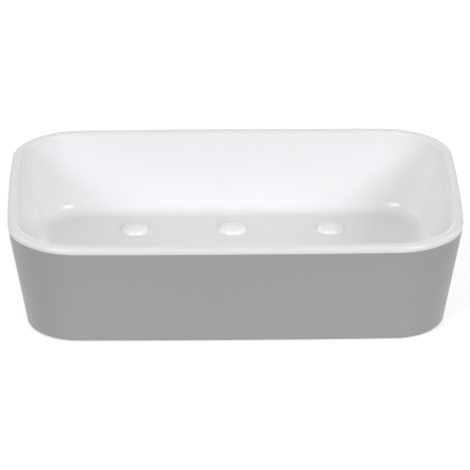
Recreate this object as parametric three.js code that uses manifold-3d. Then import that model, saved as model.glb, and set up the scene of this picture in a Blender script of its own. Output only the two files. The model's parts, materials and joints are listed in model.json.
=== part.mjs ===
// A two-walled soap dish: a grey outer shell, a white inner tray whose lip caps the shell's wall,
// and four soft round feet let into the underside.
// Millimetres and degrees, +Z up. The origin lies on the table under the middle of the dish,
// +X runs along its length and -Y points to its front.

import * as THREE from 'three';
import { mergeVertices } from 'three/addons/utils/BufferGeometryUtils.js';
import Module from 'manifold-3d';

const wasm = await Module();
wasm.setup();

// Plan outline of the rim: four corner arcs that run smoothly into gently bowed ends and sides
const RIM_LENGTH = 130;
const RIM_WIDTH = 86.5;
const RIM_CORNER_RADIUS = 20;
const END_BOW_RADIUS = 700;
const SIDE_BOW_RADIUS = 2600;
const LEAST_CORNER_RADIUS = 1;

// Heights: the dish from its underside to its rim, the lip that shows above the shell, and the feet
const BODY_HEIGHT = 31;
const LIP_HEIGHT = 1.8;
const FOOT_STAND = 0.6;

// Walls and floors, the hollow between the two floors, and the slope of the walls from upright
const SHELL_WALL = 1.5;
const SHELL_FLOOR = 2;
const TRAY_WALL = 1.6;
const TRAY_FLOOR = 1.6;
const FLOOR_HOLLOW = 3.8;
const SHELL_DRAFT = 10;
const TRAY_EXTRA_DRAFT = 2.5;

// Clearance between pieces that fit into each other
const FIT_GAP = 0.3;

// Edge rounds and fillets
const BASE_EDGE_RADIUS = 1.2;
const SHELL_EDGE_RADIUS = 0.3;
const SHELL_FLOOR_FILLET = 3;
const LIP_EDGE_RADIUS = 0.15;
const RIM_OUTER_RADIUS = 1;
const RIM_INNER_RADIUS = 1;
const TRAY_FLOOR_FILLET = 4;

// Domes that hold the soap clear of the wet floor, in rows set out from the bottom of the tray's walls
const DOME_DIAMETER = 8.2;
const DOME_HEIGHT = 2.1;
const DOME_ROOT = 0.8;
const DOME_COLUMNS = 3;
const DOME_ROWS = 2;
const DOME_END_DISTANCE = 27.8;
const DOME_SIDE_DISTANCE = 12.8;

// Pegs under the tray, which the sockets on the shell's floor locate
const PEG_DIAMETER = 4;
const PEG_ROOT = 0.8;
const PEG_WALL_DISTANCE = 15;
const SOCKET_WALL = 1.5;

// Round feet, set in from the edges of the underside
const FOOT_DIAMETER = 10;
const FOOT_THICKNESS = 1.2;
const FOOT_EDGE_CHAMFER = 0.3;
const FOOT_EDGE_DISTANCE = 15;

// How finely the round forms are divided
const END_STEPS = 2;
const CORNER_STEPS = 8;
const SIDE_STEPS = 2;
const EDGE_STEPS = 3;
const ROUND_STEPS = 20;
const DOME_STEPS = 4;

// Levels that the pieces share
const BASE_Z = FOOT_STAND;
const RIM_Z = BASE_Z + BODY_HEIGHT;
const WIDEST_Z = RIM_Z - RIM_OUTER_RADIUS;
const SEAM_Z = RIM_Z - LIP_HEIGHT;
const SHELL_FLOOR_Z = BASE_Z + SHELL_FLOOR;
const TRAY_UNDERSIDE_Z = SHELL_FLOOR_Z + FLOOR_HOLLOW;
const TRAY_FLOOR_Z = TRAY_UNDERSIDE_Z + TRAY_FLOOR;

const SHELL_SLOPE = Math.tan(THREE.MathUtils.degToRad(SHELL_DRAFT));
const TRAY_SLOPE = Math.tan(THREE.MathUtils.degToRad(SHELL_DRAFT + TRAY_EXTRA_DRAFT));

// The four corners, for what stands near each of them
const CORNERS = [
  { name: 'front_left', x: -1, y: -1 },
  { name: 'front_right', x: 1, y: -1 },
  { name: 'rear_left', x: -1, y: 1 },
  { name: 'rear_right', x: 1, y: 1 },
];

// Materials
const greyPlastic = new THREE.MeshStandardMaterial({ color: 0x9f9e9c, roughness: 0.42, metalness: 0 });
const whitePlastic = new THREE.MeshStandardMaterial({ color: 0xf1f2f4, roughness: 0.22, metalness: 0 });
const footRubber = new THREE.MeshStandardMaterial({ color: 0xcfd0cd, roughness: 0.6, metalness: 0 });

// How far each wall face lies inside the rim's widest outline at height z
function shellOuterInset(z) {
  return (WIDEST_Z - z) * SHELL_SLOPE;
}

function shellInnerInset(z) {
  return shellOuterInset(z) + SHELL_WALL;
}

function trayOuterInset(z) {
  return shellInnerInset(SEAM_Z) + FIT_GAP + (SEAM_Z - z) * TRAY_SLOPE;
}

function trayInnerInset(z) {
  return trayOuterInset(z) + TRAY_WALL;
}

// The point, on the side of +X and +Y, that lies at two given distances from two centres
function meetingPoint(centreA, distanceA, centreB, distanceB) {
  const across = centreB.clone().sub(centreA);
  const span = across.length();
  const along = (distanceA ** 2 - distanceB ** 2 + span ** 2) / (2 * span);
  const off = Math.sqrt(distanceA ** 2 - along ** 2);
  const direction = across.divideScalar(span);
  const normal = new THREE.Vector2(-direction.y, direction.x);
  return centreA.clone().addScaledVector(direction, along).addScaledVector(normal, off);
}

// Points along an arc from one direction to another, without its first point
function arcPoints(centre, radius, from, to, steps) {
  const points = [];
  for (let step = 1; step <= steps; step += 1) {
    const angle = from + ((to - from) * step) / steps;
    points.push(new THREE.Vector2(Math.cos(angle), Math.sin(angle)).multiplyScalar(radius).add(centre));
  }
  return points;
}

// The plan outline, moved inwards by an inset from the rim's widest line, as points round the dish
function planOutline(inset) {
  const endCentre = new THREE.Vector2(RIM_LENGTH / 2 - END_BOW_RADIUS, 0);
  const sideCentre = new THREE.Vector2(0, RIM_WIDTH / 2 - SIDE_BOW_RADIUS);
  const endRadius = END_BOW_RADIUS - inset;
  const sideRadius = SIDE_BOW_RADIUS - inset;
  const cornerRadius = Math.max(RIM_CORNER_RADIUS - inset, LEAST_CORNER_RADIUS);
  const corner = meetingPoint(endCentre, endRadius - cornerRadius, sideCentre, sideRadius - cornerRadius);
  const endAngle = corner.clone().sub(endCentre).angle();
  const sideAngle = corner.clone().sub(sideCentre).angle();

  // A quarter of the outline, from the middle of an end to the middle of a side
  const quarter = [
    new THREE.Vector2(RIM_LENGTH / 2 - inset, 0),
    ...arcPoints(endCentre, endRadius, 0, endAngle, END_STEPS),
    ...arcPoints(corner, cornerRadius, endAngle, sideAngle, CORNER_STEPS),
    ...arcPoints(sideCentre, sideRadius, sideAngle, Math.PI / 2, SIDE_STEPS),
  ];
  const mirrored = (x, y) => quarter.map((point) => new THREE.Vector2(point.x * x, point.y * y));
  return [
    ...mirrored(1, 1).slice(0, -1),
    ...mirrored(-1, 1).reverse().slice(0, -1),
    ...mirrored(-1, -1).slice(0, -1),
    ...mirrored(1, -1).reverse().slice(0, -1),
  ];
}

// The signed angle of the shorter way round from one direction to another
function shorterTurn(from, to) {
  return THREE.MathUtils.euclideanModulo(to - from + Math.PI, 2 * Math.PI) - Math.PI;
}

// A wall section as points (inset, z), with each corner given as [inset, z, radius] rounded by an arc.
// The first and last corners only say which way the flat faces run. Two rounds that need more than
// the straight between them share it by their radii.
function roundedSection(corners) {
  const points = [];
  for (let i = 1; i < corners.length - 1; i += 1) {
    const near = corners.slice(i - 1, i + 2);
    const [before, here, after] = near.map(([x, y]) => new THREE.Vector2(x, y));
    const [radiusBefore, radius, radiusAfter] = near.map((corner) => corner[2]);
    if (radius === 0) {
      points.push(here);
      continue;
    }
    const toBefore = before.sub(here);
    const toAfter = after.sub(here);
    const halfAngle = Math.acos(toBefore.dot(toAfter) / (toBefore.length() * toAfter.length())) / 2;
    const roomBefore = (toBefore.length() * radius) / (radius + radiusBefore);
    const roomAfter = (toAfter.length() * radius) / (radius + radiusAfter);
    const setback = Math.min(radius / Math.tan(halfAngle), roomBefore, roomAfter);
    const start = here.clone().addScaledVector(toBefore.normalize(), setback);
    const end = here.clone().addScaledVector(toAfter.normalize(), setback);
    const bisector = toBefore.clone().add(toAfter).normalize();
    const centre = here.clone().addScaledVector(bisector, setback / Math.cos(halfAngle));
    const from = start.clone().sub(centre).angle();
    const to = from + shorterTurn(from, end.clone().sub(centre).angle());
    points.push(start, ...arcPoints(centre, start.distanceTo(centre), from, to, EDGE_STEPS));
  }
  return points;
}

// One closed body: the outline carried along a section from its first flat face to its last
function sweptBody(section) {
  const rings = section.map(({ x, y }) => planOutline(x).map((point) => [point.x, point.y, y]));
  const count = rings[0].length;
  const positions = rings.flat(2);
  const index = [];
  for (let ring = 0; ring < rings.length - 1; ring += 1) {
    for (let i = 0; i < count; i += 1) {
      const here = ring * count + i;
      const next = ring * count + ((i + 1) % count);
      index.push(here, next, next + count, here, next + count, here + count);
    }
  }
  const firstCentre = positions.push(0, 0, section[0].y) / 3 - 1;
  const lastCentre = positions.push(0, 0, section.at(-1).y) / 3 - 1;
  const lastRing = (rings.length - 1) * count;
  for (let i = 0; i < count; i += 1) {
    const next = (i + 1) % count;
    index.push(firstCentre, next, i);
    index.push(lastCentre, lastRing + i, lastRing + next);
  }
  const geometry = new THREE.BufferGeometry();
  geometry.setAttribute('position', new THREE.Float32BufferAttribute(positions, 3));
  geometry.setIndex(index);
  return geometry;
}

// A round body about an upright axis at (x, y), from a profile of points (radius, z)
function roundBody(profile, x = 0, y = 0) {
  const points = profile.map(([radius, z]) => new THREE.Vector2(radius, z));
  return new THREE.LatheGeometry(points, ROUND_STEPS).rotateX(Math.PI / 2).translate(x, y, 0);
}

function roundBar(diameter, lowZ, highZ, x, y) {
  const radius = diameter / 2;
  return roundBody([[0, lowZ], [radius, lowZ], [radius, highZ], [0, highZ]], x, y);
}

// Joins and cuts of closed bodies
function solidOf(geometry) {
  const bare = geometry.clone();
  bare.deleteAttribute('normal');
  bare.deleteAttribute('uv');
  const merged = mergeVertices(bare);
  const triangles = [];
  for (let i = 0; i < merged.index.count; i += 3) {
    const [a, b, c] = [0, 1, 2].map((k) => merged.index.getX(i + k));
    if (a !== b && b !== c && c !== a) triangles.push(a, b, c);
  }
  const vertProperties = new Float32Array(merged.attributes.position.array);
  const triVerts = new Uint32Array(triangles);
  return new wasm.Manifold(new wasm.Mesh({ numProp: 3, vertProperties, triVerts }));
}

function geometryOf(solid) {
  const mesh = solid.getMesh();
  const geometry = new THREE.BufferGeometry();
  geometry.setAttribute('position', new THREE.Float32BufferAttribute(mesh.vertProperties, 3));
  geometry.setIndex([...mesh.triVerts]);
  geometry.computeVertexNormals();
  return geometry;
}

// Where the pegs and feet stand, for one corner
function pegPlace({ x, y }) {
  const inset = trayInnerInset(TRAY_FLOOR_Z) + PEG_WALL_DISTANCE;
  return [x * (RIM_LENGTH / 2 - inset), y * (RIM_WIDTH / 2 - inset)];
}

function footPlace({ x, y }) {
  const inset = shellOuterInset(BASE_Z) + FOOT_EDGE_DISTANCE;
  return [x * (RIM_LENGTH / 2 - inset), y * (RIM_WIDTH / 2 - inset)];
}

// The outer shell: a tapered tub with four peg sockets on its floor and four foot seats underneath
function outerShell() {
  const middle = RIM_WIDTH / 2;
  const section = roundedSection([
    [middle, BASE_Z, 0],
    [shellOuterInset(BASE_Z), BASE_Z, BASE_EDGE_RADIUS],
    [shellOuterInset(SEAM_Z), SEAM_Z, SHELL_EDGE_RADIUS],
    [shellInnerInset(SEAM_Z), SEAM_Z, 0],
    [shellInnerInset(SHELL_FLOOR_Z), SHELL_FLOOR_Z, SHELL_FLOOR_FILLET],
    [middle, SHELL_FLOOR_Z, 0],
  ]);
  let shell = solidOf(sweptBody(section));

  const boreDiameter = PEG_DIAMETER + 2 * FIT_GAP;
  const socketDiameter = boreDiameter + 2 * SOCKET_WALL;
  const socketRootZ = SHELL_FLOOR_Z - SHELL_FLOOR / 2;
  const socketTopZ = TRAY_UNDERSIDE_Z - FIT_GAP;
  const seatDiameter = FOOT_DIAMETER + 2 * FIT_GAP;
  for (const corner of CORNERS) {
    const place = pegPlace(corner);
    const socket = roundBar(socketDiameter, socketRootZ, socketTopZ, ...place);
    const bore = roundBar(boreDiameter, SHELL_FLOOR_Z, TRAY_UNDERSIDE_Z, ...place);
    const seat = roundBar(seatDiameter, 0, FOOT_THICKNESS, ...footPlace(corner));
    shell = shell.add(solidOf(socket)).subtract(solidOf(bore)).subtract(solidOf(seat));
  }
  return geometryOf(shell);
}

// A dome on the tray's floor, half an ellipsoid, with a root that sinks into the floor
function dome(x, y) {
  const radius = DOME_DIAMETER / 2;
  const rootZ = TRAY_FLOOR_Z - DOME_ROOT;
  const profile = [[0, rootZ], [radius, rootZ], [radius, TRAY_FLOOR_Z]];
  for (let step = 1; step < DOME_STEPS; step += 1) {
    const angle = ((Math.PI / 2) * step) / DOME_STEPS;
    profile.push([radius * Math.cos(angle), TRAY_FLOOR_Z + DOME_HEIGHT * Math.sin(angle)]);
  }
  profile.push([0, TRAY_FLOOR_Z + DOME_HEIGHT]);
  return roundBody(profile, x, y);
}

// The inner tray: a bowl with a lip that rests on the shell's edge, domes on its floor and pegs below
function innerTray() {
  const middle = RIM_WIDTH / 2;
  const section = roundedSection([
    [middle, TRAY_UNDERSIDE_Z, 0],
    [trayOuterInset(TRAY_UNDERSIDE_Z), TRAY_UNDERSIDE_Z, TRAY_FLOOR_FILLET + TRAY_WALL],
    [trayOuterInset(SEAM_Z), SEAM_Z, 0],
    [shellOuterInset(SEAM_Z), SEAM_Z, LIP_EDGE_RADIUS],
    [shellOuterInset(RIM_Z), RIM_Z, RIM_OUTER_RADIUS],
    [trayInnerInset(RIM_Z), RIM_Z, RIM_INNER_RADIUS],
    [trayInnerInset(TRAY_FLOOR_Z), TRAY_FLOOR_Z, TRAY_FLOOR_FILLET],
    [middle, TRAY_FLOOR_Z, 0],
  ]);
  let tray = solidOf(sweptBody(section));

  const wallEndInset = trayInnerInset(TRAY_FLOOR_Z);
  const lastColumnX = RIM_LENGTH / 2 - wallEndInset - DOME_END_DISTANCE;
  const lastRowY = RIM_WIDTH / 2 - wallEndInset - DOME_SIDE_DISTANCE;
  for (let row = 0; row < DOME_ROWS; row += 1) {
    for (let column = 0; column < DOME_COLUMNS; column += 1) {
      const x = lastColumnX * ((2 * column) / (DOME_COLUMNS - 1) - 1);
      const y = lastRowY * ((2 * row) / (DOME_ROWS - 1) - 1);
      tray = tray.add(solidOf(dome(x, y)));
    }
  }
  const pegEndZ = SHELL_FLOOR_Z + FIT_GAP;
  const pegRootZ = TRAY_UNDERSIDE_Z + PEG_ROOT;
  for (const corner of CORNERS) {
    tray = tray.add(solidOf(roundBar(PEG_DIAMETER, pegEndZ, pegRootZ, ...pegPlace(corner))));
  }
  return geometryOf(tray);
}

// A soft foot, standing on its chamfered face
function foot() {
  const radius = FOOT_DIAMETER / 2;
  const profile = [
    [0, 0],
    [radius - FOOT_EDGE_CHAMFER, 0],
    [radius, FOOT_EDGE_CHAMFER],
    [radius, FOOT_THICKNESS],
    [0, FOOT_THICKNESS],
  ];
  return geometryOf(solidOf(roundBody(profile)));
}

function piece(name, geometry, material) {
  const mesh = new THREE.Mesh(geometry, material);
  mesh.name = name;
  return mesh;
}

const dish = new THREE.Group();
dish.name = 'soap_dish';
dish.add(piece('outer_shell', outerShell(), greyPlastic));
dish.add(piece('inner_tray', innerTray(), whitePlastic));
for (const corner of CORNERS) {
  const mesh = piece(`foot_${corner.name}`, foot(), footRubber);
  mesh.position.set(...footPlace(corner), 0);
  dish.add(mesh);
}

export default dish;
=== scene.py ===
"""Models a two-walled soap dish around its fixed frame: a grey shell, a white tray and soft feet.

Metres, +Z up. The dish stands on the floor at the origin, its length runs along X and -Y is its front.
"""

import json
import math
from collections import namedtuple

import bmesh
import bpy
from bpy.props import FloatProperty, FloatVectorProperty, IntProperty, PointerProperty
from mathutils import Matrix, Vector


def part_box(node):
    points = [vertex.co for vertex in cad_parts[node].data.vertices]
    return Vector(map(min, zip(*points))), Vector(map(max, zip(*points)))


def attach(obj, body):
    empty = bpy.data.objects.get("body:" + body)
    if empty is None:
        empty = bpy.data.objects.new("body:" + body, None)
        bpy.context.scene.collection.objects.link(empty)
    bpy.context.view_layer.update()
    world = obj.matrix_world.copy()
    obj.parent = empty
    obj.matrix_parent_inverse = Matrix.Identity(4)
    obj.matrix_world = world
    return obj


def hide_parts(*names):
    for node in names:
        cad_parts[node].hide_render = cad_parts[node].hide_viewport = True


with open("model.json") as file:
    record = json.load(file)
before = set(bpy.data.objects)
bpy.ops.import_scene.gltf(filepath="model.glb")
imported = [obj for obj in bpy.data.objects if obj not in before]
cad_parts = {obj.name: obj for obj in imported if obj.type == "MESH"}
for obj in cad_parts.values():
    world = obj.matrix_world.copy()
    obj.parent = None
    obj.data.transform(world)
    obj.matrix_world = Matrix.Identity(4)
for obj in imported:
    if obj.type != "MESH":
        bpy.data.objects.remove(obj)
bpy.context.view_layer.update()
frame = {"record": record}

bl_info = {
    "name": "Soap Dish",
    "version": (1, 0, 0),
    "blender": (4, 5, 0),
    "location": "3D View > Sidebar > Soap Dish",
    "description": "Models a soap dish with a grey shell, a white tray and soft feet on a pale floor",
    "category": "Object",
}

# What the frame says of the pieces' places
SHELL_LOW, SHELL_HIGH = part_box("outer_shell")
TRAY_LOW, TRAY_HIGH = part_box("inner_tray")
FOOT_NAMES = ("front_left", "front_right", "rear_left", "rear_right")
FOOT_BOXES = {name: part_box(f"foot_{name}") for name in FOOT_NAMES}
FIRST_FOOT_LOW, FIRST_FOOT_HIGH = FOOT_BOXES[FOOT_NAMES[0]]
MOUNT_PLACES = {mount["name"]: Vector(mount["pos_m"]) for mount in frame["record"]["mounts"]}
SLOT_COLOURS = {slot["slot"]: slot["base_color"] for slot in frame["record"]["materials"]}

# Levels of the flat faces
BASE_Z = SHELL_LOW.z
SEAM_Z = SHELL_HIGH.z
RIM_Z = TRAY_HIGH.z
PEG_END_Z = TRAY_LOW.z
TRAY_FLOOR_Z = MOUNT_PLACES["tray_floor"].z

# How finely the round forms are divided
END_STEPS = 4
CORNER_STEPS = 24
SIDE_STEPS = 5
EDGE_STEPS = 8
FOOT_EDGE_STEPS = 4
ROUND_STEPS = 40
DOME_STEPS = 10
DOME_FOOT_STEPS = 4
HALVINGS = 40

# Tolerances: how near a point counts as on its place or its level, and how near points are merged
ON_PLACE = 2e-5
ON_LEVEL = 2e-6
MERGE_DISTANCE = 1e-6

# The first triangle's radius, which shrinks to a point, a bevel's roundness and the least sharp angle
START_RADIUS = 1e-4
ROUND_BEVEL = 0.5
SMOOTH_ANGLE = math.radians(40)

UP = Vector((0, 0, 1))
DOWN = Vector((0, 0, -1))

# A corner of a wall's section: how far inside the widest outline, how high, and how round
Corner = namedtuple("Corner", "inset z radius")


def length(name, description, default):
    """A length that a user can set."""
    return FloatProperty(
        name=name,
        description=description,
        default=default,
        min=0.0,
        precision=5,
        subtype="DISTANCE",
        unit="LENGTH",
    )


def slope_angle(name, description, degrees):
    """An angle that a user can set."""
    return FloatProperty(
        name=name, description=description, default=math.radians(degrees), subtype="ANGLE", unit="ROTATION"
    )


def colour(name, description, default):
    """A colour that a user can set."""
    return FloatVectorProperty(
        name=name, description=description, default=default, min=0.0, max=1.0, size=3, subtype="COLOR"
    )


def number(name, description, default):
    """A number of copies that a user can set, at least two."""
    return IntProperty(name=name, description=description, default=default, min=2)


def spread(reach, count):
    """Evenly spaced places as far as a reach on either side of the middle."""
    return [reach * (2 * place / (count - 1) - 1) for place in range(count)]


class DishSizes(bpy.types.PropertyGroup):
    """Sizes of the dish's mouldings and feet."""

    rim_length: length("Rim length", "Length of the rim at its widest", TRAY_HIGH.x - TRAY_LOW.x)
    rim_width: length("Rim width", "Width of the rim at its widest", TRAY_HIGH.y - TRAY_LOW.y)
    corner_radius: length("Corner radius", "Radius of the rim's four corners in plan", 0.020)
    end_bow: length("End bow", "Radius of the gentle curve of the two ends in plan", 0.700)
    side_bow: length("Side bow", "Radius of the gentle curve of the two sides in plan", 2.600)

    shell_wall: length("Shell wall", "Thickness of the shell's wall", 0.0015)
    tray_wall: length("Tray wall", "Thickness of the tray's wall", 0.0016)
    tray_floor: length("Tray floor", "Thickness of the tray's floor", 0.0016)
    fit_gap: length("Fit gap", "Clearance between pieces that fit into each other", 0.0003)
    shell_draft: slope_angle("Shell draft", "Slope of the shell's wall from upright", 10)
    tray_draft: slope_angle("Tray draft", "Slope of the tray's wall from upright", 12.5)

    base_edge: length("Base edge", "Radius of the shell's lower edge", 0.0012)
    shell_edge: length("Shell edge", "Radius of the shell's upper edge under the lip", 0.0003)
    shell_fillet: length("Shell fillet", "Radius between the shell's wall and its floor inside", 0.0030)
    lip_edge: length("Lip edge", "Radius of the lip's lower edge", 0.00015)
    rim_outer: length("Outer rim", "Radius of the rim's outer edge", 0.0010)
    rim_inner: length("Inner rim", "Radius of the rim's inner edge", 0.0010)
    tray_fillet: length("Tray fillet", "Radius between the tray's wall and its floor", 0.0040)

    dome_diameter: length("Dome diameter", "Diameter of a soap dome at the floor", 0.0082)
    dome_height: length("Dome height", "Height of a soap dome above the floor", 0.0021)
    dome_foot: length("Dome foot", "Radius of the fillet round a soap dome's foot", 0.0004)
    dome_columns: number("Dome columns", "Soap domes along the dish", 3)
    dome_rows: number("Dome rows", "Soap domes across the dish", 2)
    dome_end_distance: length("Dome end distance", "From the floor's end to the first column", 0.0278)
    dome_side_distance: length("Dome side distance", "From the floor's side to the first row", 0.0128)

    peg_diameter: length("Peg diameter", "Diameter of the locating pegs under the tray", 0.0040)
    peg_distance: length("Peg distance", "From the floor's edges to the locating pegs", 0.0150)
    socket_wall: length("Socket wall", "Wall of the sockets that take the pegs", 0.0015)

    foot_diameter: length("Foot diameter", "Diameter of a foot", FIRST_FOOT_HIGH.x - FIRST_FOOT_LOW.x)
    foot_edge: length("Foot edge", "Radius of a foot's lower edge", 0.0003)
    foot_lip: length("Foot lip", "Width of the ring that a foot stands on", 0.0011)
    foot_cup: length("Foot cup", "Depth of the shallow cup under a foot", 0.00015)
    seat_chamfer: length("Seat chamfer", "Chamfer round the mouth of a foot's seat", 0.0002)

    def shell_outer(self, z):
        """How far the shell's outer face lies inside the widest outline at height z."""
        return (RIM_Z - self.rim_outer - z) * math.tan(self.shell_draft)

    def shell_inner(self, z):
        """How far the shell's inner face lies inside the widest outline at height z."""
        return self.shell_outer(z) + self.shell_wall

    def tray_outer(self, z):
        """How far the tray's outer face lies inside the widest outline at height z."""
        return self.shell_inner(SEAM_Z) + self.fit_gap + (SEAM_Z - z) * math.tan(self.tray_draft)

    def tray_inner(self, z):
        """How far the tray's inner face lies inside the widest outline at height z."""
        return self.tray_outer(z) + self.tray_wall

    def shell_floor_z(self):
        """Height of the shell's floor, on which the pegs all but stand."""
        return PEG_END_Z - self.fit_gap

    def tray_underside_z(self):
        """Height of the tray's underside."""
        return TRAY_FLOOR_Z - self.tray_floor

    def dome_places(self):
        """Where the soap domes stand, in rows and columns about the middle of the floor."""
        floor_inset = self.tray_inner(TRAY_FLOOR_Z)
        reach_x = self.rim_length / 2 - floor_inset - self.dome_end_distance
        reach_y = self.rim_width / 2 - floor_inset - self.dome_side_distance
        columns = spread(reach_x, self.dome_columns)
        rows = spread(reach_y, self.dome_rows)
        return [(x, y) for y in rows for x in columns]

    def peg_places(self):
        """Where the locating pegs stand, one near each corner."""
        inset = self.tray_inner(TRAY_FLOOR_Z) + self.peg_distance
        x = self.rim_length / 2 - inset
        y = self.rim_width / 2 - inset
        return [(-x, -y), (x, -y), (-x, y), (x, y)]


class DishColours(bpy.types.PropertyGroup):
    """Colours of the dish and of its floor."""

    shell_grey: colour("Shell grey", "Satin plastic of the shell", SLOT_COLOURS["grey_shell"])
    tray_white: colour("Tray white", "Glossy plastic of the tray", SLOT_COLOURS["white_tray"])
    foot_milky: colour("Foot milky", "Soft plastic of the feet", SLOT_COLOURS["soft_foot"])
    floor_pale: colour("Floor pale", "Studio floor", (0.80, 0.80, 0.80))


class Outline:
    """The dish's plan at its widest: four corner arcs between gently bowed ends and sides."""

    def __init__(self, sizes):
        self.half_length = sizes.rim_length / 2
        self.end_bow = sizes.end_bow
        self.side_bow = sizes.side_bow
        self.corner_radius = sizes.corner_radius
        self.end_centre = Vector((sizes.rim_length / 2 - sizes.end_bow, 0))
        self.side_centre = Vector((0, sizes.rim_width / 2 - sizes.side_bow))
        self.corner_centre = self.touching_centre()
        from_end = self.corner_centre - self.end_centre
        from_side = self.corner_centre - self.side_centre
        self.end_angle = math.atan2(from_end.y, from_end.x)
        self.side_angle = math.atan2(from_side.y, from_side.x)

    def touching_centre(self):
        """Centre of the corner arc that runs smoothly into the end arc and the side arc."""
        end_distance = self.end_bow - self.corner_radius
        side_distance = self.side_bow - self.corner_radius
        across = self.side_centre - self.end_centre
        span = across.length
        along = (end_distance ** 2 - side_distance ** 2 + span ** 2) / (2 * span)
        off = math.sqrt(end_distance ** 2 - along ** 2)
        direction = across / span
        return self.end_centre + direction * along + Vector((-direction.y, direction.x)) * off

    def arcs(self):
        """The arcs from the middle of the +X end all the way round, as (centre, turn, steps)."""
        quarter = [
            (self.end_centre, self.end_angle, END_STEPS),
            (self.corner_centre, self.side_angle - self.end_angle, CORNER_STEPS),
            (self.side_centre, math.pi / 2 - self.side_angle, SIDE_STEPS),
        ]
        for signs, arcs in (
            ((1, 1), quarter), ((-1, 1), quarter[::-1]), ((-1, -1), quarter), ((1, -1), quarter[::-1])
        ):
            for centre, turn, steps in arcs:
                yield Vector((signs[0] * centre.x, signs[1] * centre.y)), turn, steps

    def inset_of(self, place):
        """How far a place lies inside the widest outline."""
        point = Vector((abs(place.x), abs(place.y)))
        from_corner = point - self.corner_centre
        angle = math.atan2(from_corner.y, from_corner.x)
        if self.end_angle < angle < self.side_angle:
            return self.corner_radius - from_corner.length
        if angle <= self.end_angle and from_corner.x > 0:
            return self.end_bow - (point - self.end_centre).length
        return self.side_bow - (point - self.side_centre).length


# Selecting and shaping in edit mode

def clear_selection():
    """Leaves edit mode and deselects every object."""
    if bpy.context.mode != "OBJECT":
        bpy.ops.object.mode_set(mode="OBJECT")
    bpy.ops.object.select_all(action="DESELECT")


def pick(kind, test):
    """Selects only the edges or faces of the edited mesh that pass a test."""
    bpy.ops.mesh.select_mode(type={"edges": "EDGE", "faces": "FACE"}[kind])
    bpy.ops.mesh.select_all(action="DESELECT")
    mesh = bmesh.from_edit_mesh(bpy.context.edit_object.data)
    picked = [element for element in getattr(mesh, kind) if test(element)]
    if not picked:
        raise RuntimeError(f"no {kind} of {bpy.context.edit_object.name} lie where they should")
    for element in picked:
        element.select_set(True)
    bmesh.update_edit_mesh(bpy.context.edit_object.data)


def is_level(element, z):
    """Whether all the points of an edge or a face lie at height z."""
    return all(abs(vert.co.z - z) < ON_LEVEL for vert in element.verts)


def pick_loop(outline, inset, z):
    """Selects the loop of edges that runs round the dish at an inset and a height."""
    pick("edges", lambda edge: is_level(edge, z) and all(
        abs(outline.inset_of(vert.co) - inset) < ON_PLACE for vert in edge.verts
    ))


def pick_open_edges():
    """Selects the edges that border a hole."""
    bpy.ops.mesh.select_mode(type="EDGE")
    bpy.ops.mesh.select_all(action="DESELECT")
    bpy.ops.mesh.select_non_manifold(
        extend=False,
        use_wire=False,
        use_boundary=True,
        use_multi_face=False,
        use_non_contiguous=False,
        use_verts=False,
    )


def point_outwards():
    """Merges doubled points and turns every face of the closed mesh outwards."""
    bpy.ops.mesh.select_all(action="SELECT")
    bpy.ops.mesh.remove_doubles(threshold=MERGE_DISTANCE)
    bpy.ops.mesh.normals_make_consistent(inside=False)


def turn_face(direction):
    """Turns the one face of a new outline to look in a direction."""
    mesh = bmesh.from_edit_mesh(bpy.context.edit_object.data)
    face = next(iter(mesh.faces))
    if face.normal.dot(direction) < 0:
        bpy.ops.mesh.flip_normals()


def extrude_upwards(rise):
    """Extrudes the selected faces straight up, or down where the rise is negative."""
    bpy.ops.mesh.extrude_region_move(TRANSFORM_OT_translate={"value": (0, 0, rise)})


def round_edges(setback, steps):
    """Rounds the selected edges, beginning at the same setback on either side."""
    bpy.ops.mesh.bevel(
        offset=setback,
        offset_type="OFFSET",
        segments=steps,
        profile=ROUND_BEVEL,
        affect="EDGES",
        clamp_overlap=False,
    )


def draw_outline(name, outline, inset, z):
    """Starts a piece: spins one point round the arcs of the outline and closes them with a face."""
    clear_selection()
    bpy.ops.mesh.primitive_circle_add(
        vertices=3,
        radius=START_RADIUS,
        enter_editmode=True,
        location=(0, 0, 0),
    )
    bpy.context.object.name = name
    bpy.ops.mesh.select_mode(type="VERT")
    bpy.ops.mesh.select_all(action="SELECT")
    bpy.ops.mesh.merge(type="CENTER")
    bpy.ops.transform.translate(value=(outline.half_length - inset, 0, z))
    for centre, turn, steps in outline.arcs():
        bpy.ops.mesh.spin(steps=steps, angle=-turn, center=(centre.x, centre.y, z), axis=UP)
    bpy.ops.mesh.select_all(action="SELECT")
    bpy.ops.mesh.remove_doubles(threshold=MERGE_DISTANCE)
    bpy.ops.mesh.edge_face_add()


def step_face(corners, direction):
    """Insets the selected face from corner to corner of a section, leaving a wall behind each step."""
    for before, after in zip(corners, corners[1:]):
        bpy.ops.mesh.inset(thickness=after.inset - before.inset, depth=(after.z - before.z) * direction.z)


def round_section(outline, corners):
    """Rounds the corners of a section that have a radius. Two rounds on a short straight share it."""
    flat_inset = max(corner.inset for corner in corners) + outline.corner_radius
    path = [Corner(flat_inset, corners[0].z, 0), *corners, Corner(flat_inset, corners[-1].z, 0)]
    for before, here, after in zip(path, path[1:], path[2:]):
        if here.radius == 0:
            continue
        to_before = Vector((before.inset - here.inset, before.z - here.z))
        to_after = Vector((after.inset - here.inset, after.z - here.z))
        room_before = to_before.length * here.radius / (here.radius + before.radius)
        room_after = to_after.length * here.radius / (here.radius + after.radius)
        setback = min(here.radius / math.tan(to_before.angle(to_after) / 2), room_before, room_after)
        pick_loop(outline, here.inset, here.z)
        round_edges(setback, EDGE_STEPS)


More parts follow.
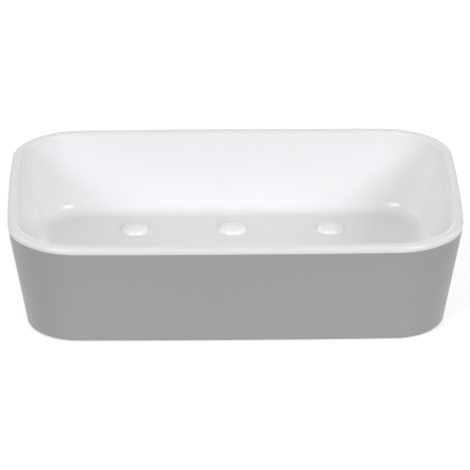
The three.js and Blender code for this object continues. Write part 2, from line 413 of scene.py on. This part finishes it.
def draw_tub(name, outline, outside, inside):
    """Models a tub: down the outside from its top edge, then over the edge and down the inside."""
    top = outside[0]
    draw_outline(name, outline, top.inset, top.z)
    turn_face(DOWN)
    step_face(outside, DOWN)
    pick_open_edges()
    bpy.ops.mesh.edge_face_add()
    step_face([top, *inside], UP)
    round_section(outline, [*outside[::-1], *inside])
    point_outwards()


def set_discs(places, radius, z):
    """Redraws the flat face at height z round discs at some places, and leaves the discs selected."""
    pick("faces", lambda face: is_level(face, z))
    bpy.ops.mesh.delete(type="ONLY_FACE")
    for x, y in places:
        bpy.ops.mesh.primitive_circle_add(
            vertices=ROUND_STEPS,
            radius=radius,
            fill_type="NGON",
            location=(x, y, z),
        )
    pick_open_edges()
    bpy.ops.mesh.fill(use_beauty=True)
    point_outwards()
    pick("faces", lambda face: is_level(face, z) and len(face.verts) == ROUND_STEPS)


def dome_point(sizes, turn):
    """A point of a soap dome's section, half an ellipse, and the direction square to the dome there."""
    reach = Vector((sizes.dome_diameter / 2, sizes.dome_height))
    way = Vector((math.cos(turn), math.sin(turn)))
    return way * reach, Vector((way.x / reach.x, way.y / reach.y)).normalized()


def dome_profile(sizes):
    """A soap dome from its foot to its top, as points (radius, height above the floor)."""
    # Where the fillet that lies on the floor touches the dome, found by halving the range
    low_turn, high_turn = 0.0, math.pi / 2
    for _ in range(HALVINGS):
        turn = (low_turn + high_turn) / 2
        point, outwards = dome_point(sizes, turn)
        fillet_centre = point + outwards * sizes.dome_foot
        if fillet_centre.y < sizes.dome_foot:
            low_turn = turn
        else:
            high_turn = turn

    # Along the fillet from the floor to the dome, then up the dome
    sweep = math.pi / 2 - math.atan2(outwards.y, outwards.x)
    profile = []
    for step in range(DOME_FOOT_STEPS):
        angle = -math.pi / 2 - sweep * step / DOME_FOOT_STEPS
        profile.append(fillet_centre + Vector((math.cos(angle), math.sin(angle))) * sizes.dome_foot)
    for step in range(DOME_STEPS):
        profile.append(dome_point(sizes, turn + (math.pi / 2 - turn) * step / DOME_STEPS)[0])
    return profile


def raise_domes(sizes):
    """Raises the soap domes out of the tray's floor, ring by ring."""
    profile = dome_profile(sizes)
    # An inset runs square to a ring's sides, which lie a little nearer to its middle than its corners
    side_share = math.cos(math.pi / ROUND_STEPS)
    set_discs(sizes.dome_places(), profile[0].x, TRAY_FLOOR_Z)
    for before, after in zip(profile, profile[1:]):
        bpy.ops.mesh.inset(thickness=(before.x - after.x) * side_share, depth=after.y - before.y)
    bpy.ops.mesh.poke(offset=sizes.dome_height - profile[-1].y)


def finish_piece(name, node, material):
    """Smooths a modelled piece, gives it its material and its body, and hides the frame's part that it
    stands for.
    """
    clear_selection()
    piece = bpy.data.objects[name]
    piece.data.name = name
    piece.select_set(True)
    bpy.context.view_layer.objects.active = piece
    bpy.ops.object.shade_smooth_by_angle(angle=SMOOTH_ANGLE)
    bpy.ops.object.modifier_add(type="WEIGHTED_NORMAL")
    piece.modifiers[-1].keep_sharp = True
    bpy.ops.object.modifier_apply(modifier=piece.modifiers[-1].name)
    piece.data.materials.append(material)
    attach(piece, "root")
    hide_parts(node)


# Materials

# Sockets of a Mix node that blends colours, by number because some of them share their names
MIX_FACTOR = 0
MIX_FIRST = 6
MIX_SECOND = 7
MIX_RESULT = 2

WHITE = (1, 1, 1, 1)


class Tone:
    """A socket of a node tree, on which arithmetic adds Math nodes."""

    def __init__(self, tree, socket=None):
        self.tree = tree
        self.socket = socket

    def node(self, kind, settings=(), sockets=(), output=0):
        """Adds a node, sets its settings and then its sockets, and gives one of its outputs."""
        made = self.tree.nodes.new(kind)
        for name, value in dict(settings).items():
            setattr(made, name, value)
        for name, value in dict(sockets).items():
            if isinstance(value, Tone):
                self.tree.links.new(value.socket, made.inputs[name])
            else:
                made.inputs[name].default_value = value
        return Tone(self.tree, made.outputs[output] if made.outputs else None)

    def maths(self, operation, first, second):
        """Adds a Math node on two values."""
        return self.node("ShaderNodeMath", {"operation": operation}, {0: first, 1: second})

    def __add__(self, other):
        return self.maths("ADD", self, other)

    def __radd__(self, other):
        return self.maths("ADD", other, self)

    def __mul__(self, other):
        return self.maths("MULTIPLY", self, other)

    def __rmul__(self, other):
        return self.maths("MULTIPLY", other, self)

    def noise(self, place, scale, detail):
        """Noise over a place, from 0 to 1 about a middle of a half."""
        return self.node("ShaderNodeTexNoise", sockets={"Vector": place, "Scale": scale, "Detail": detail})

    def clouded(self, cloud, rgb, darkest, lightest):
        """A colour that drifts with a noise between two of its shades."""
        dark = (*(channel * darkest for channel in rgb), 1.0)
        light = (*(channel * lightest for channel in rgb), 1.0)
        return self.node(
            "ShaderNodeMix",
            {"data_type": "RGBA"},
            {MIX_FACTOR: cloud, MIX_FIRST: dark, MIX_SECOND: light},
            output=MIX_RESULT,
        )

    def plastic(self, tint, roughness, height, bump_strength, bump_distance, ior):
        """Ends a material's nodes as plastic with a tint, a roughness and an uneven skin."""
        bump = self.node("ShaderNodeBump", sockets={
            "Strength": bump_strength,
            "Distance": bump_distance,
            "Height": height,
        })
        shader = self.node("ShaderNodeBsdfPrincipled", sockets={
            "Base Color": tint,
            "Roughness": roughness,
            "Normal": bump,
            "IOR": ior,
        })
        self.node("ShaderNodeOutputMaterial", sockets={"Surface": shader})


def start_nodes(holder):
    """Empties the nodes of a material or a world, and gives a start for new ones."""
    holder.use_nodes = True
    holder.node_tree.nodes.clear()
    return Tone(holder.node_tree)


def new_material(name):
    """An empty material, a start for its nodes, and the place on the piece that its patterns follow."""
    material = bpy.data.materials.new(name)
    start = start_nodes(material)
    return material, start, start.node("ShaderNodeTexCoord", output="Object")


def satin_grey(colours):
    """Satin plastic with a fine moulded grain and a faint cloudiness."""
    material, start, place = new_material("satin_grey_plastic")
    cloud = start.noise(place, scale=22.0, detail=3.0)
    grain = start.noise(place, scale=3200.0, detail=2.0)
    start.plastic(
        tint=start.clouded(cloud, colours.shell_grey, darkest=0.985, lightest=1.045),
        roughness=0.36 + 0.10 * cloud + 0.06 * grain,
        height=grain,
        bump_strength=0.25,
        bump_distance=0.00004,
        ior=1.5,
    )
    return material


def gloss_white(colours):
    """Glossy white plastic, faintly uneven as mouldings are."""
    material, start, place = new_material("gloss_white_plastic")
    cloud = start.noise(place, scale=30.0, detail=2.0)
    film = start.noise(place, scale=420.0, detail=3.0)
    start.plastic(
        tint=start.clouded(cloud, colours.tray_white, darkest=0.985, lightest=1.0),
        roughness=0.18 + 0.05 * cloud + 0.03 * film,
        height=cloud + 0.05 * film,
        bump_strength=0.2,
        bump_distance=0.0002,
        ior=1.5,
    )
    return material


def soft_milky(colours):
    """Soft matt plastic of the feet, with a fine pebbled skin."""
    material, start, place = new_material("soft_milky_plastic")
    cloud = start.noise(place, scale=180.0, detail=2.0)
    skin = start.noise(place, scale=2600.0, detail=3.0)
    start.plastic(
        tint=start.clouded(cloud, colours.foot_milky, darkest=0.94, lightest=1.04),
        roughness=0.56 + 0.16 * skin,
        height=skin,
        bump_strength=0.4,
        bump_distance=0.00006,
        ior=1.45,
    )
    return material


def seen_directly(start):
    """1 for what the camera sees, straight or through gloss or glass, and 0 for light that bounces."""
    camera = start.node("ShaderNodeLightPath", output="Is Camera Ray")
    glossy = start.node("ShaderNodeLightPath", output="Is Glossy Ray")
    clear = start.node("ShaderNodeLightPath", output="Is Transmission Ray")
    return start.maths("MAXIMUM", start.maths("MAXIMUM", camera, glossy), clear)


def pale_floor(colours, glow):
    """A matt pale floor that looks white where no shadow lies on it."""
    material, start, place = new_material("pale_floor")
    cloud = start.noise(place, scale=6.0, detail=2.0)
    tint = start.clouded(cloud, colours.floor_pale, darkest=0.99, lightest=1.01)
    matt = start.node("ShaderNodeBsdfDiffuse", sockets={"Color": tint})
    light = start.node("ShaderNodeEmission", sockets={"Strength": seen_directly(start) * glow})
    shader = start.node("ShaderNodeAddShader", sockets={0: matt, 1: light})
    start.node("ShaderNodeOutputMaterial", sockets={"Surface": shader})
    return material


# The stage: floor, lamps, surroundings and camera
FLOOR_SIZE = 0.6
FLOOR_MIDDLE = Vector((0, 0.16, 0))
FLOOR_GLOW = 0.55
SENSOR_WIDTH = 36.0
CAMERA_LENS = 308.8
CAMERA_DISTANCE = 1.20504
CAMERA_TARGET = Vector((0.0010, 0.0342, BASE_Z))
CAMERA_ELEVATION = math.radians(24.52)
CAMERA_YAW = math.radians(-1.19)
CAMERA_ROLL = math.radians(0.09)

# A lamp: degrees round from the front to the right, degrees up, metres across, watts, colour
Lamp = namedtuple("Lamp", "name azimuth elevation size power tint")
COOL_TINT = (0.957, 0.965, 1.0)
WARM_TINT = (1.0, 0.995, 0.92)
LAMPS = (
    Lamp("left_softbox", -37, 27.5, 0.62, 10.2, COOL_TINT),
    Lamp("right_softbox", 38, 27.5, 0.58, 12.7, COOL_TINT),
    Lamp("high_fill", -25, 53, 0.6, 3.3, WARM_TINT),
    Lamp("rear_fill", 180, 50, 0.9, 4.0, WARM_TINT),
    Lamp("rear_low", 180, 7, 0.5, 2.0, WARM_TINT),
    Lamp("left_fill", -110, 25, 0.8, 5.1, WARM_TINT),
    Lamp("right_fill", 110, 25, 0.8, 4.6, WARM_TINT),
)
LAMP_DISTANCE = 1.6
LAMP_TARGET = Vector((0, 0, RIM_Z / 2))


def direction_to(azimuth, elevation):
    """The direction from the dish to a place round from its front to its right, and up."""
    level = math.cos(elevation)
    return Vector((math.sin(azimuth) * level, -math.cos(azimuth) * level, math.sin(elevation)))


def add_lamp(lamp):
    """Adds a square lamp that faces the dish."""
    direction = direction_to(math.radians(lamp.azimuth), math.radians(lamp.elevation))
    bpy.ops.object.light_add(
        type="AREA",
        radius=lamp.size,
        location=LAMP_TARGET + direction * LAMP_DISTANCE,
        rotation=direction.to_track_quat("Z", "Y").to_euler(),
    )
    light = bpy.context.object
    light.name = lamp.name
    light.data.energy = lamp.power
    light.data.color = lamp.tint


def set_camera():
    """Adds the camera at the photograph's viewing angle."""
    back = direction_to(CAMERA_YAW, CAMERA_ELEVATION)
    side = Vector((math.cos(CAMERA_YAW), math.sin(CAMERA_YAW), 0))
    top = back.cross(side)
    right = side * math.cos(CAMERA_ROLL) + top * math.sin(CAMERA_ROLL)
    above = back.cross(right)
    turned = Matrix((right, above, back)).transposed()
    bpy.ops.object.camera_add(location=CAMERA_TARGET + back * CAMERA_DISTANCE, rotation=turned.to_euler())
    camera = bpy.context.object
    camera.data.lens = CAMERA_LENS
    camera.data.sensor_width = SENSOR_WIDTH
    bpy.context.scene.camera = camera


def set_surroundings():
    """Makes the world white where it is seen, straight or in a gloss, and leaves lighting to the lamps."""
    world = bpy.data.worlds.new("white_surroundings")
    bpy.context.scene.world = world
    start = start_nodes(world)
    strength = seen_directly(start)
    shader = start.node("ShaderNodeBackground", sockets={"Color": WHITE, "Strength": strength})
    start.node("ShaderNodeOutputWorld", sockets={"Surface": shader})


class DISH_OT_model_shell(bpy.types.Operator):
    """Model the grey outer shell with its peg sockets and foot seats"""

    bl_idname = "dish.model_shell"
    bl_label = "Model Shell"
    bl_options = {"REGISTER", "UNDO"}

    def execute(self, context):
        sizes = context.scene.dish_sizes
        floor_z = sizes.shell_floor_z()
        outside = [
            Corner(sizes.shell_outer(SEAM_Z), SEAM_Z, sizes.shell_edge),
            Corner(sizes.shell_outer(BASE_Z), BASE_Z, sizes.base_edge),
        ]
        inside = [
            Corner(sizes.shell_inner(SEAM_Z), SEAM_Z, 0),
            Corner(sizes.shell_inner(floor_z), floor_z, sizes.shell_fillet),
        ]
        draw_tub("shell_body", Outline(sizes), outside, inside)

        # Peg sockets on the floor inside
        bore_radius = sizes.peg_diameter / 2 + sizes.fit_gap
        socket_rise = sizes.tray_underside_z() - sizes.fit_gap - floor_z
        set_discs(sizes.peg_places(), bore_radius + sizes.socket_wall, floor_z)
        extrude_upwards(socket_rise)
        bpy.ops.mesh.inset(thickness=sizes.socket_wall, depth=0)
        extrude_upwards(-socket_rise)

        # Foot seats with a chamfered mouth in the underside
        foot_middles = [(low + high) / 2 for low, high in FOOT_BOXES.values()]
        seat_radius = sizes.foot_diameter / 2 + sizes.fit_gap
        set_discs([middle.xy for middle in foot_middles], seat_radius + sizes.seat_chamfer, BASE_Z)
        bpy.ops.mesh.inset(thickness=sizes.seat_chamfer, depth=-sizes.seat_chamfer)
        extrude_upwards(FIRST_FOOT_HIGH.z - BASE_Z - sizes.seat_chamfer)
        point_outwards()
        finish_piece("shell_body", "outer_shell", satin_grey(context.scene.dish_colours))
        return {"FINISHED"}


class DISH_OT_model_tray(bpy.types.Operator):
    """Model the white inner tray with its lip, soap domes and locating pegs"""

    bl_idname = "dish.model_tray"
    bl_label = "Model Tray"
    bl_options = {"REGISTER", "UNDO"}

    def execute(self, context):
        sizes = context.scene.dish_sizes
        underside_z = sizes.tray_underside_z()
        outside = [
            Corner(sizes.shell_outer(RIM_Z), RIM_Z, sizes.rim_outer),
            Corner(sizes.shell_outer(SEAM_Z), SEAM_Z, sizes.lip_edge),
            Corner(sizes.tray_outer(SEAM_Z), SEAM_Z, 0),
            Corner(sizes.tray_outer(underside_z), underside_z, sizes.tray_fillet + sizes.tray_wall),
        ]
        inside = [
            Corner(sizes.tray_inner(RIM_Z), RIM_Z, sizes.rim_inner),
            Corner(sizes.tray_inner(TRAY_FLOOR_Z), TRAY_FLOOR_Z, sizes.tray_fillet),
        ]
        draw_tub("tray_bowl", Outline(sizes), outside, inside)
        raise_domes(sizes)
        set_discs(sizes.peg_places(), sizes.peg_diameter / 2, underside_z)
        extrude_upwards(PEG_END_Z - underside_z)
        point_outwards()
        finish_piece("tray_bowl", "inner_tray", gloss_white(context.scene.dish_colours))
        return {"FINISHED"}


class DISH_OT_model_feet(bpy.types.Operator):
    """Model one soft foot and copy it to the other seats"""

    bl_idname = "dish.model_feet"
    bl_label = "Model Feet"
    bl_options = {"REGISTER", "UNDO"}

    def execute(self, context):
        sizes = context.scene.dish_sizes
        material = soft_milky(context.scene.dish_colours)
        first_middle = (FIRST_FOOT_LOW + FIRST_FOOT_HIGH) / 2
        clear_selection()
        bpy.ops.mesh.primitive_cylinder_add(
            vertices=ROUND_STEPS,
            radius=sizes.foot_diameter / 2,
            depth=FIRST_FOOT_HIGH.z - FIRST_FOOT_LOW.z,
            location=first_middle,
        )
        bpy.ops.object.transform_apply(location=True, rotation=False, scale=False)
        first_foot = bpy.context.object
        first_foot.name = f"soft_foot_{FOOT_NAMES[0]}"
        bpy.ops.object.mode_set(mode="EDIT")

        # A shallow cup inside the ring that the foot stands on
        pick("faces", lambda face: is_level(face, FIRST_FOOT_LOW.z))
        bpy.ops.mesh.inset(thickness=sizes.foot_lip, depth=0)
        bpy.ops.mesh.inset(thickness=sizes.foot_lip / 2, depth=-sizes.foot_cup)

        # The rounded lower edge, picked by its distance from the middle
        rim_radius = sizes.foot_diameter / 2 - ON_PLACE
        pick("edges", lambda edge: is_level(edge, FIRST_FOOT_LOW.z) and all(
            (vert.co.xy - first_middle.xy).length > rim_radius for vert in edge.verts
        ))
        round_edges(sizes.foot_edge, FOOT_EDGE_STEPS)
        point_outwards()

        # Copies for the other seats
        for name in FOOT_NAMES[1:]:
            low, high = FOOT_BOXES[name]
            clear_selection()
            first_foot.select_set(True)
            bpy.context.view_layer.objects.active = first_foot
            bpy.ops.object.duplicate(linked=False)
            copy = bpy.context.object
            copy.name = f"soft_foot_{name}"
            bpy.ops.transform.translate(value=(low + high) / 2 - first_middle)
            bpy.ops.object.transform_apply(location=True, rotation=False, scale=False)
        for name in FOOT_NAMES:
            finish_piece(f"soft_foot_{name}", f"foot_{name}", material)
        return {"FINISHED"}


class DISH_OT_set_stage(bpy.types.Operator):
    """Set the pale floor, the lamps, the white surroundings and the camera"""

    bl_idname = "dish.set_stage"
    bl_label = "Set Stage"
    bl_options = {"REGISTER", "UNDO"}

    def execute(self, context):
        clear_selection()
        bpy.ops.mesh.primitive_plane_add(size=FLOOR_SIZE, location=FLOOR_MIDDLE)
        floor = bpy.context.object
        floor.name = "studio_floor"
        floor.data.materials.append(pale_floor(context.scene.dish_colours, FLOOR_GLOW))
        for lamp in LAMPS:
            add_lamp(lamp)
        set_surroundings()
        set_camera()
        context.scene.view_settings.view_transform = "Standard"
        return {"FINISHED"}


class DISH_PT_sidebar(bpy.types.Panel):
    """Lists the dish's sizes, colours and steps"""

    bl_idname = "DISH_PT_sidebar"
    bl_label = "Soap Dish"
    bl_space_type = "VIEW_3D"
    bl_region_type = "UI"
    bl_category = "Soap Dish"

    def draw(self, context):
        layout = self.layout
        for group in (context.scene.dish_sizes, context.scene.dish_colours):
            box = layout.box()
            for name in group.__annotations__:
                box.prop(group, name)
        for operator in OPERATORS:
            layout.operator(operator.bl_idname)


OPERATORS = (DISH_OT_set_stage, DISH_OT_model_shell, DISH_OT_model_tray, DISH_OT_model_feet)
CLASSES = (DishSizes, DishColours, *OPERATORS, DISH_PT_sidebar)


def register():
    """Registers the classes and hangs the settings on the scene."""
    for cls in CLASSES:
        bpy.utils.register_class(cls)
    bpy.types.Scene.dish_sizes = PointerProperty(type=DishSizes)
    bpy.types.Scene.dish_colours = PointerProperty(type=DishColours)


def unregister():
    """Takes the settings and the classes away again."""
    del bpy.types.Scene.dish_colours
    del bpy.types.Scene.dish_sizes
    for cls in reversed(CLASSES):
        bpy.utils.unregister_class(cls)


def main():
    """Builds the dish and its stage."""
    register()
    bpy.ops.dish.set_stage()
    bpy.ops.dish.model_shell()
    bpy.ops.dish.model_tray()
    bpy.ops.dish.model_feet()


if __name__ == "__main__":
    main()
